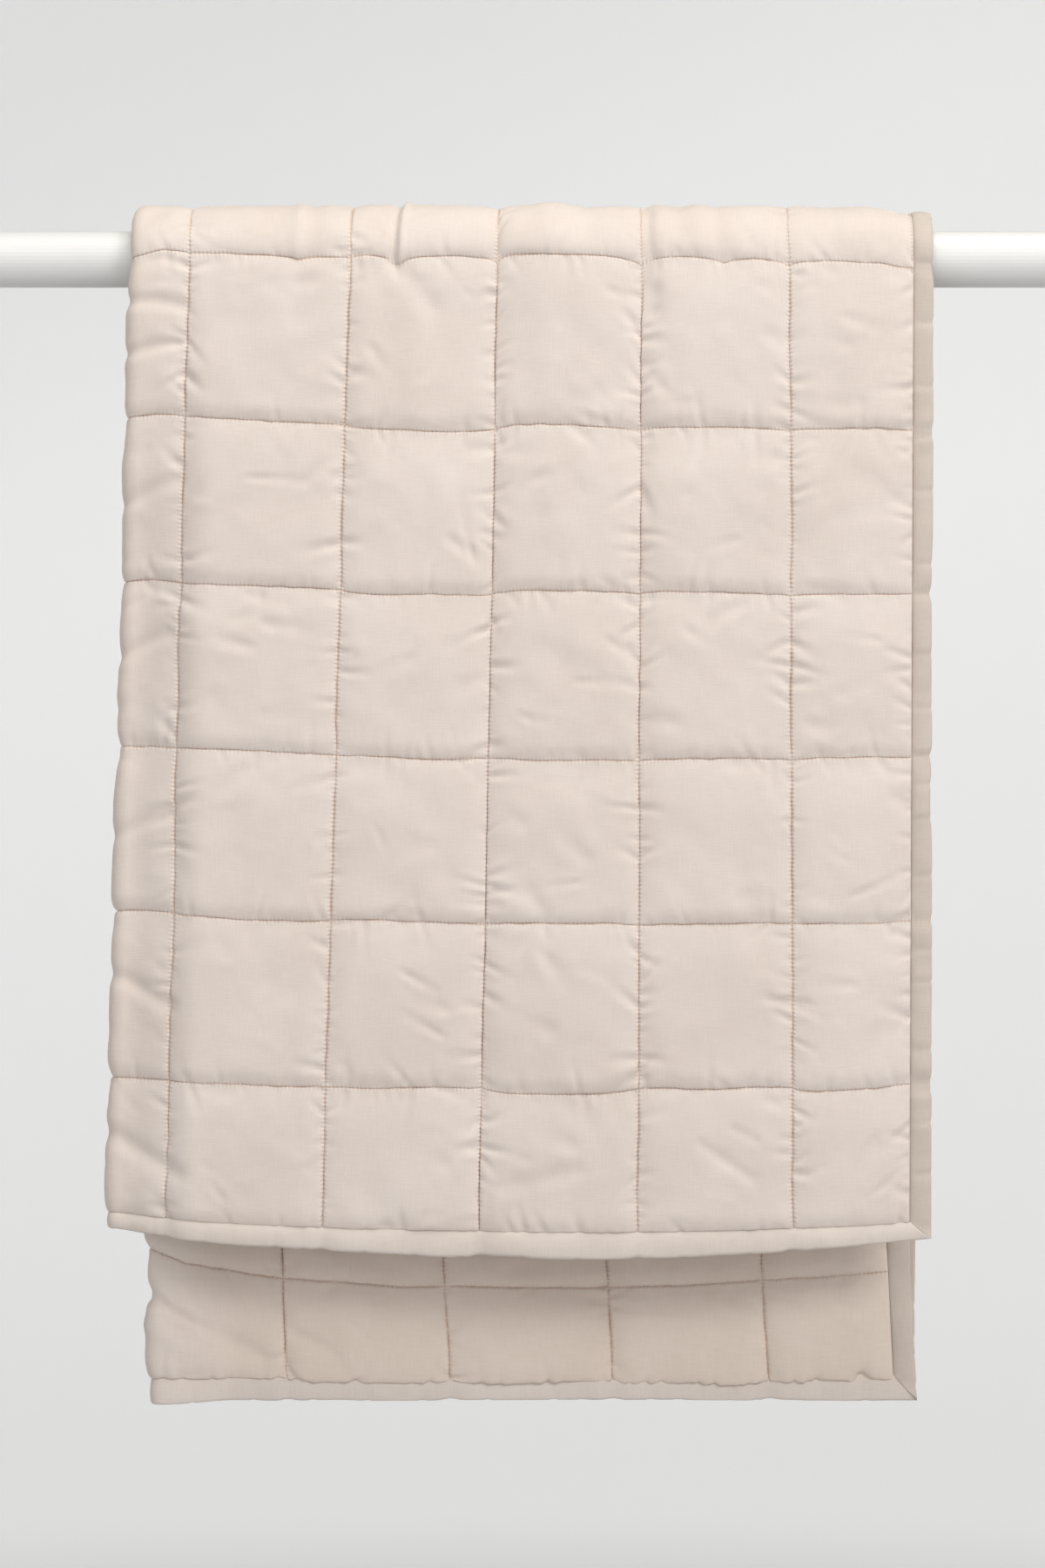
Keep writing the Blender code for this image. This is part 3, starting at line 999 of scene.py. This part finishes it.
def seam_lines(edges: Grid, low: float, high: float, step: float) -> Grid:
    """Mesh lines from low to high: evenly spaced between seams, and closer beside them."""
    stops = np.unique(np.concatenate([[low], edges[(edges > low) & (edges < high)], [high]]))
    lines = [np.array([high])]
    for first, last in zip(stops, stops[1:]):
        count = max(2, round((last - first) / step))
        lines.append(np.linspace(first, last, count + 1)[:-1])
        close = np.array([0.6 * MM, 1.4 * MM]) if step < 5 * MM else np.array([1.2 * MM])
        lines.append(np.concatenate([first + close, last - close]))
    return joined(lines)


@dataclass
class QuiltedCloth:
    """The face cloth and the backing cloth, stitched together through the wadding."""

    drape: Drape
    relief: Relief
    sewing: Seamwork
    linen: Material
    fine: float = 2.2 * MM
    middling: float = 3.8 * MM
    hidden: float = 7.0 * MM
    inside: float = 3.4 * MM
    coarse: float = 9 * MM
    fold_thinning: float = 0.45
    fold_reach: float = 0.032

    def _sheet(self, name: str, across: Grid, along: Grid, face: bool) -> Piece:
        """One cloth over a grid of flat lines, as the face or as the backing."""
        u, v = np.meshgrid(across, along)
        lift = self.relief.lift(across, along)
        shift_u, shift_v = self.sewing.shift(u, v)
        if face:
            shift_v = shift_v + self.relief.hang(across, along, lift)
            points = self.drape.surface(u + shift_u, v + shift_v, lift)
            faces = grid_faces(*u.shape)[:, ::-1]
        else:
            near_fold = 1 - soft_step(np.abs(u - self.drape.fold_flat(v)) / self.fold_reach)
            lift = np.clip(lift, self.relief.seam, self.relief.full) * (1 - self.fold_thinning * near_fold)
            points = self.drape.surface(u + shift_u, v + shift_v, -lift)
            faces = grid_faces(*u.shape)
        flat = np.stack([u, v], axis=-1).reshape(-1, 2)
        return new_piece(name, points.reshape(-1, 3), faces.tolist(), flat, self.linen)

    def build(self) -> dict[str, Piece]:
        """Makes the face cloth in four pieces that meet at seams, and the backing cloth."""
        cut = self.drape.cut
        columns, rows = cut.columns(), cut.rows()
        third, inner, top = cut.joins()
        first, last, level = columns[0], columns[-1], rows[-3]
        fold_low, fold_high = FOLD_SPAN

        def across(low: float, high: float, step: float) -> Grid:
            return seam_lines(columns, low, high, step)

        def along(low: float, high: float, step: float) -> Grid:
            return seam_lines(rows, low, high, step)

        right = across(first, third, self.fine)
        left = joined([across(third, fold_high, self.fine), across(fold_high, inner, self.middling)])
        outer_back = joined([across(first, fold_low, self.middling), across(fold_low, inner, self.fine)])
        in_front = along(rows[0], top, self.fine)
        below_level = along(level, rows[-1], self.fine)
        behind = joined([along(top, level, self.middling), below_level])
        on_inner = joined([along(rows[0], level, self.hidden), below_level])
        everywhere = along(rows[0], rows[-1], self.coarse)
        return {
            key: self._sheet(name, u_lines, v_lines, face)
            for key, name, u_lines, v_lines, face in (
                ("face_front_right", "face_cloth_front_right", right, in_front, True),
                ("face_front_left", "face_cloth_front_left", left, in_front, True),
                ("face_back", "face_cloth_back", outer_back, behind, True),
                ("face_inner", "face_cloth_inner_layer", across(inner, last, self.inside), on_inner, True),
                ("backing", "backing_cloth", across(first, last, self.coarse), everywhere, False),
            )
        }


@dataclass
class BindingStrip:
    """A folded strip of the cloth round one edge, mitred at both ends."""

    drape: Drape
    linen: Material
    crown: float = 0.0040
    gap: float = 0.3 * MM
    dent_width: float = 0.0060
    tuck_width: float = 0.0026
    tuck_share: float = 0.55
    dented: float = 0.34
    rippled: float = 0.32
    wobble: float = 0.0023
    drawn_in: float = 0.0016

    def _profile(self) -> tuple[Grid, Grid]:
        """Shares of the width from the outer edge, and the height there, round the strip."""
        turn = np.linspace(0.0, math.pi / 2, 6)
        edge = 1 - np.cos(turn)
        share = np.concatenate([edge * 0.16, [0.3, 0.5, 0.7, 0.85, 0.95, 1.0]])
        crown = np.concatenate([np.sin(turn) * 0.86, [0.98, 1.0, 0.93, 0.74, 0.50, 0.28]])
        return share, crown * self.crown

    def _ring(self) -> tuple[Grid, Grid]:
        """The profile on the face side and back along the other side, without a repeat."""
        share, height = self._profile()
        around = np.concatenate([share[::-1], share[1:]])
        lift = np.concatenate([height[::-1], -height[1:]])
        return around, lift

    def _stations(self, seams: Seams, run: float) -> Grid:
        """The places along the strip, closer together where it shows in front or turns round the fold."""
        if seams is Seams.LENGTHWISE:
            shown = 0.87
            return np.concatenate([np.linspace(0.0, shown, 396)[:-1], np.linspace(shown, run, 186)])
        low, high = FOLD_SPAN
        fold = np.linspace(low, high, 38)
        return np.concatenate([np.linspace(0.0, low, 140), fold[1:-1], np.linspace(high, run, 130)])

    def _dents(self, at: Grid, stops: Grid, run: float) -> Grid:
        """How much the strip pulls in where each seam ends at it, and at small tucks between."""
        tucks = np.cumsum(np.random.default_rng(64).uniform(0.022, 0.060, round(run / 0.041)))
        dents = np.exp(-(((at[..., None] - stops) / self.dent_width) ** 2)).sum(axis=-1)
        dents += self.tuck_share * np.exp(-(((at[..., None] - tucks) / self.tuck_width) ** 2)).sum(axis=-1)
        return dents

    def build(self, name: str, seams: Seams, at_far_edge: bool, stops: Grid) -> Piece:
        """Makes one strip.

        Args:
            name: The piece's name.
            seams: Lengthwise for a long edge, crosswise for a hem.
            at_far_edge: Whether it is the edge where u or v is greatest.
            stops: The seams that end at this strip and dent it a little.

        Returns:
            The strip, closed at both mitres.
        """
        cut = self.drape.cut
        around, lift = self._ring()
        run, edge = (cut.length, cut.width) if seams is Seams.LENGTHWISE else (cut.width, cut.length)
        stations = self._stations(seams, run)
        mitre = around * cut.binding + self.gap
        at = np.clip(stations[:, None], mitre[None, :], run - mitre[None, :])
        inwards = around[None, :] * (cut.binding - self.gap / 2) * np.ones_like(at)
        dents = self._dents(at, stops, run)
        ripple = drift(at / 0.035, np.full_like(at, 3.5 if at_far_edge else 0.5), 61)
        ripple += 0.6 * drift(at / 0.012, around[None, :] * 0.8 * np.ones_like(at), 62)
        height = lift[None, :] * (1 - self.dented * dents + self.rippled * ripple)
        # The outer edge wavers, and is drawn in a little at each dent
        outer = 1 - around[None, :]
        wobble = self.wobble * drift(at / 0.045, np.full_like(at, 7.5), 63) * outer
        inwards = np.maximum(inwards + wobble + self.drawn_in * dents * outer + 0.0004, self.gap)
        inwards = np.minimum(inwards, cut.binding - self.gap / 2)
        off = edge - inwards if at_far_edge else inwards
        u, v = (off, at) if seams is Seams.LENGTHWISE else (at, off)
        points = self.drape.surface(u, v, height)
        rows, columns = u.shape
        faces = grid_faces(rows, columns, closed=True).tolist()
        faces.append(list(range(columns))[::-1])
        faces.append(list(range((rows - 1) * columns, rows * columns)))
        flipped = (seams is Seams.LENGTHWISE) == at_far_edge
        faces = [face[::-1] for face in faces] if flipped else faces
        flat = np.stack([u, v], axis=-1).reshape(-1, 2)
        return new_piece(name, points.reshape(-1, 3), faces, flat, self.linen)


@dataclass
class Stitching:
    """Running stitches along every seam, laid out by Geometry Nodes."""

    drape: Drape
    relief: Relief
    sewing: Seamwork
    thread: Material
    pitch: float = 3.3 * MM
    length: float = 2.3 * MM
    girth: float = 0.8 * MM
    sink: float = 0.2 * MM
    inset: float = 1.2 * MM

    def _line(self, u: Grid, v: Grid) -> Grid:
        """The points that a row of stitches follows, just clear of the face cloth."""
        shift_u, shift_v = self.sewing.shift(u, v)
        lift = self.relief.seam + self.sink + self.relief.broad(u, v)
        return self.drape.surface(u + shift_u, v + shift_v, lift)

    def _lines(self, seams: Grid) -> Grid:
        """The seams, with the first and the last one moved off the binding."""
        return np.concatenate([[seams[0] + self.inset], seams[1:-1], [seams[-1] - self.inset]])

    def _paths(self, seams: Seams) -> list[Grid]:
        """The lines of stitching in one direction, border lines included."""
        columns, rows = self._lines(self.drape.cut.columns()), self._lines(self.drape.cut.rows())
        if seams is Seams.LENGTHWISE:
            run = np.linspace(rows[0], rows[-1], 600)
            return [self._line(np.full_like(run, u), run) for u in columns]
        run = np.linspace(columns[0], columns[-1], 800)
        return [self._line(run, np.full_like(run, v)) for v in rows]

    def _tree(self) -> Tree:
        """The tree that turns lines into stitches."""
        tree = bpy.data.node_groups.new("running_stitch", "GeometryNodeTree")
        tree.interface.new_socket("Lines", in_out="INPUT", socket_type="NodeSocketGeometry")
        for name, value in (("Pitch", self.pitch), ("Length", self.length), ("Girth", self.girth)):
            socket = tree.interface.new_socket(name, in_out="INPUT", socket_type="NodeSocketFloat")
            socket.default_value = value
        seed = tree.interface.new_socket("Seed", in_out="INPUT", socket_type="NodeSocketInt")
        seed.default_value = 7
        tree.interface.new_socket("Stitches", in_out="OUTPUT", socket_type="NodeSocketGeometry")
        given = add_node(tree, "NodeGroupInput").outputs
        curve = add_node(tree, "GeometryNodeMeshToCurve", {"Mesh": given["Lines"]}).outputs[0]
        spaced = add_node(
            tree, "GeometryNodeResampleCurve", {"Curve": curve, "Length": given["Pitch"]}, mode="LENGTH"
        ).outputs[0]
        tangent = add_node(tree, "GeometryNodeInputTangent").outputs[0]
        turned = add_node(tree, "FunctionNodeAlignRotationToVector", {"Vector": tangent}, axis="X").outputs[0]
        ball = {"Radius": 0.5, "Subdivisions": 1}
        stitch = add_node(tree, "GeometryNodeMeshIcoSphere", ball).outputs["Mesh"]
        size = add_node(
            tree, "ShaderNodeCombineXYZ", {"X": given["Length"], "Y": given["Girth"], "Z": given["Girth"]}
        ).outputs[0]
        sizes = {"Min": (0.85, 0.85, 0.85), "Max": (1.12, 1.15, 1.15), "Seed": given["Seed"]}
        uneven = add_node(tree, "FunctionNodeRandomValue", sizes, data_type="FLOAT_VECTOR").outputs[0]
        scale = add_node(tree, "ShaderNodeVectorMath", {0: size, 1: uneven}, operation="MULTIPLY").outputs[0]
        placed = add_node(
            tree, "GeometryNodeInstanceOnPoints",
            {"Points": spaced, "Instance": stitch, "Rotation": turned, "Scale": scale},
        ).outputs[0]
        real = add_node(tree, "GeometryNodeRealizeInstances", {"Geometry": placed}).outputs[0]
        smooth = add_node(tree, "GeometryNodeSetShadeSmooth", {"Geometry": real}).outputs[0]
        finish = {"Geometry": smooth, "Material": self.thread}
        dressed = add_node(tree, "GeometryNodeSetMaterial", finish).outputs[0]
        add_node(tree, "NodeGroupOutput", {"Stitches": dressed})
        return tree

    def _stitches(self, name: str, paths: list[Grid], tree: Tree) -> Piece:
        """Runs the tree on some lines and keeps the result as a plain mesh."""
        points, edges, count = [], [], 0
        for path in paths:
            points += path.tolist()
            edges += [(count + n, count + n + 1) for n in range(len(path) - 1)]
            count += len(path)
        lines = bpy.data.meshes.new(name + "_lines")
        lines.from_pydata(points, edges, [])
        source = linked(name + "_lines", lines)
        modifier = source.modifiers.new("stitch", "NODES")
        modifier.node_group = tree
        made = source.evaluated_get(bpy.context.evaluated_depsgraph_get())
        mesh = bpy.data.meshes.new_from_object(made)
        mesh.name = name
        bpy.data.objects.remove(source)
        bpy.data.meshes.remove(lines)
        return linked(name, mesh)

    def build(self) -> list[Piece]:
        """Makes the lengthwise and the crosswise rows of stitches."""
        tree = self._tree()
        return [self._stitches(f"{seams.value}_stitches", self._paths(seams), tree) for seams in Seams]


@dataclass(frozen=True)
class SoftLight:
    """A soft square light that points at the middle of the throw."""

    name: str
    place: Point
    size: float
    power: float
    colour: str


LIGHTS = (
    SoftLight("right", (4.6, -4.6, 3.3), 2.0, 166.0, "FFFEFC"),
    SoftLight("left", (-0.8, -5.5, 3.2), 2.0, 50.0, "FFFEFC"),
    SoftLight("above", (0.7, -0.95, 2.35), 1.3, 39.0, "FFFCF2"),
)


@dataclass
class Studio:
    """The pale seamless stage, the soft lights and the camera."""

    middle: float
    floor_level: float = -1.75
    floor_reach: float = 8.0
    wall_height: float = 4.6
    bend: float = 2.2
    camera_distance: float = 3.042
    camera_level: float = -0.412
    glow: float = 0.27
    floor_tone: str = "C6C6C6"
    wall_tone: str = "F0F0F0"
    upper_left_painted_shade: str = "E1E1E1"
    shade_slope: Point = (-0.30, 0.0, 0.45)
    shade_span: tuple[float, float] = (0.05, 1.05)
    floor_span: tuple[float, float] = (2.0, 4.2)
    room: float = 0.20
    room_tone: str = "FBFBFD"
    aim_level: float = -0.4
    lens: float = 88.9
    long_side: float = 36.0

    def _stage_material(self) -> Material:
        """Matt pale grey paper, darker on the floor round the throw so that it throws up less light, with
        painted shade towards the upper left of the wall and a painted glow away from the throw.
        """
        material, tree, shader = new_material("pale_paper")
        place = add_node(tree, "ShaderNodeTexCoord").outputs["Object"]
        # Painted shade: the wall is darker towards the upper left, where the light falls off
        slant = {0: place, 1: self.shade_slope}
        upper_left = add_node(tree, "ShaderNodeVectorMath", slant, operation="DOT_PRODUCT").outputs["Value"]
        shade = ramp(tree, upper_left, self.shade_span, kind="SMOOTHSTEP")
        wall = blend(tree, shade, linear(self.wall_tone), linear(self.upper_left_painted_shade))
        foot = {0: place, 1: (self.middle, 0.0, self.floor_level)}
        away = add_node(tree, "ShaderNodeVectorMath", foot, operation="DISTANCE").outputs["Value"]
        far = ramp(tree, away, self.floor_span, kind="SMOOTHSTEP")
        feed(tree, shader, {
            "Base Color": blend(tree, far, linear(self.floor_tone), wall),
            "Roughness": 0.95,
            "Emission Color": linear("FFFFFF"),
            # Painted light: the paper away from the throw glows faintly
            "Emission Strength": worked_out(tree, "MULTIPLY", far, self.glow),
        })
        # The even glow needs no light samples of its own
        material.cycles.emission_sampling = "NONE"
        return material

    def _stage(self) -> Piece:
        """A round floor that turns up into a wall on every side."""
        flat = self.floor_reach - self.bend
        profile = [(0.0, 0.0), (flat, 0.0)]
        for turn in np.linspace(0.0, math.pi / 2, 13)[1:]:
            profile.append((flat + self.bend * math.sin(turn), self.bend * (1 - math.cos(turn))))
        profile.append((self.floor_reach, self.wall_height))
        shape = bmesh.new()
        verts = [shape.verts.new((self.middle + r, 0.0, self.floor_level + z)) for r, z in profile]
        edges = [shape.edges.new(pair) for pair in zip(verts, verts[1:])]
        bmesh.ops.spin(
            shape, geom=verts + edges, cent=(self.middle, 0.0, 0.0), axis=(0.0, 0.0, 1.0),
            angle=2 * math.pi, steps=96, use_merge=True,
        )
        bmesh.ops.remove_doubles(shape, verts=shape.verts, dist=MM)
        mesh = bpy.data.meshes.new("stage")
        shape.to_mesh(mesh)
        shape.free()
        mesh.shade_smooth()
        mesh.materials.append(self._stage_material())
        stage = linked("stage", mesh)
        stage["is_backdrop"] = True
        return stage

    def _light(self, soft: SoftLight) -> None:
        """Hangs up one light and points it at the throw."""
        data = bpy.data.lights.new(soft.name, "AREA")
        data.size = soft.size
        data.energy = soft.power
        data.color = linear(soft.colour)[:3]
        light = linked(soft.name, data)
        light.location = soft.place
        aim = np.array([self.middle, 0.0, self.aim_level]) - np.array(soft.place)
        light.rotation_euler = direction_to_euler(aim)

    def _camera(self) -> None:
        """The camera at the photo's place: level, and square to the rail."""
        data = bpy.data.cameras.new("camera")
        data.lens = self.lens
        data.sensor_width = self.long_side
        camera = linked("camera", data)
        camera.location = (self.middle, -self.camera_distance, self.camera_level)
        camera.rotation_euler = (math.pi / 2, 0.0, 0.0)
        bpy.context.scene.camera = camera

    def _world(self) -> None:
        """A dim even light from the room all round."""
        world = bpy.data.worlds.new("soft_room")
        world.use_nodes = True
        background = world.node_tree.nodes["Background"]
        background.inputs["Color"].default_value = linear(self.room_tone)
        background.inputs["Strength"].default_value = self.room
        bpy.context.scene.world = world

    def build(self) -> None:
        """Sets the stage, the lights, the surrounding light and the camera."""
        self._stage()
        self._world()
        for soft in LIGHTS:
            self._light(soft)
        bpy.context.scene.view_settings.view_transform = "Standard"
        self._camera()


def direction_to_euler(aim: Grid) -> Point:
    """The rotation that points a light along a direction."""
    flat = math.hypot(aim[0], aim[1])
    return math.atan2(flat, -aim[2]), 0.0, math.atan2(aim[1], aim[0]) - math.pi / 2


def main() -> None:
    """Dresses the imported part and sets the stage."""
    logging.basicConfig(level=logging.INFO, format="%(name)s: %(message)s")
    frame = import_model()
    low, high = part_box("rail")
    drape = Drape(tuple(low), tuple(high))
    relief = Relief(drape.cut)
    linen = WashedLinen("washed_linen").build(drape.cut)
    hem_linen = WashedLinen("washed_linen_binding", "E0D5CD", "D1C4BA", quilted=False).build(drape.cut)
    thread = LinenThread("linen_thread").build()

    sewing = Seamwork(drape.cut)
    cloths = QuiltedCloth(drape, relief, sewing, linen).build()
    # The side bindings are darker, partly for their denser folded cloth and partly as painted shade where
    # they turn away from the light
    denser_shaded_side_linen = WashedLinen("washed_linen_side_denser_shaded", "D0C4BA", "C1B4A9", quilted=False).build(drape.cut)
    side = BindingStrip(drape, denser_shaded_side_linen)
    front_hem = BindingStrip(drape, hem_linen)
    back_hem = BindingStrip(drape, hem_linen, crown=0.0026)
    columns, rows = drape.cut.columns()[1:-1], drape.cut.rows()[1:-1]
    strips = {
        "binding_outer_side": side.build("binding_strip_outer_side", Seams.LENGTHWISE, False, rows),
        "binding_inner_side": side.build("binding_strip_inner_side", Seams.LENGTHWISE, True, rows),
        "binding_front_hem": front_hem.build("binding_strip_front_hem", Seams.CROSSWISE, False, columns),
        "binding_back_hem": back_hem.build("binding_strip_back_hem", Seams.CROSSWISE, True, columns),
    }
    stitches = Stitching(drape, relief, sewing, thread).build()

    for piece in cloths.values():
        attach(piece, BODY)
        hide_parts("quilt")
    for node, piece in strips.items():
        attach(piece, BODY)
        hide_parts(node)
    for piece in stitches:
        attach(piece, BODY)
    rail = frame["nodes"]["rail"]
    rail.data.materials.clear()
    rail.data.materials.append(SatinPaint("satin_white_paint").build())

    third, inner, top = drape.cut.joins()

    Studio(drape.middle).build()
    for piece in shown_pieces():
        LOG.info("%s: %d faces", piece.name, len(piece.data.polygons))


if __name__ == "__main__":
    main()
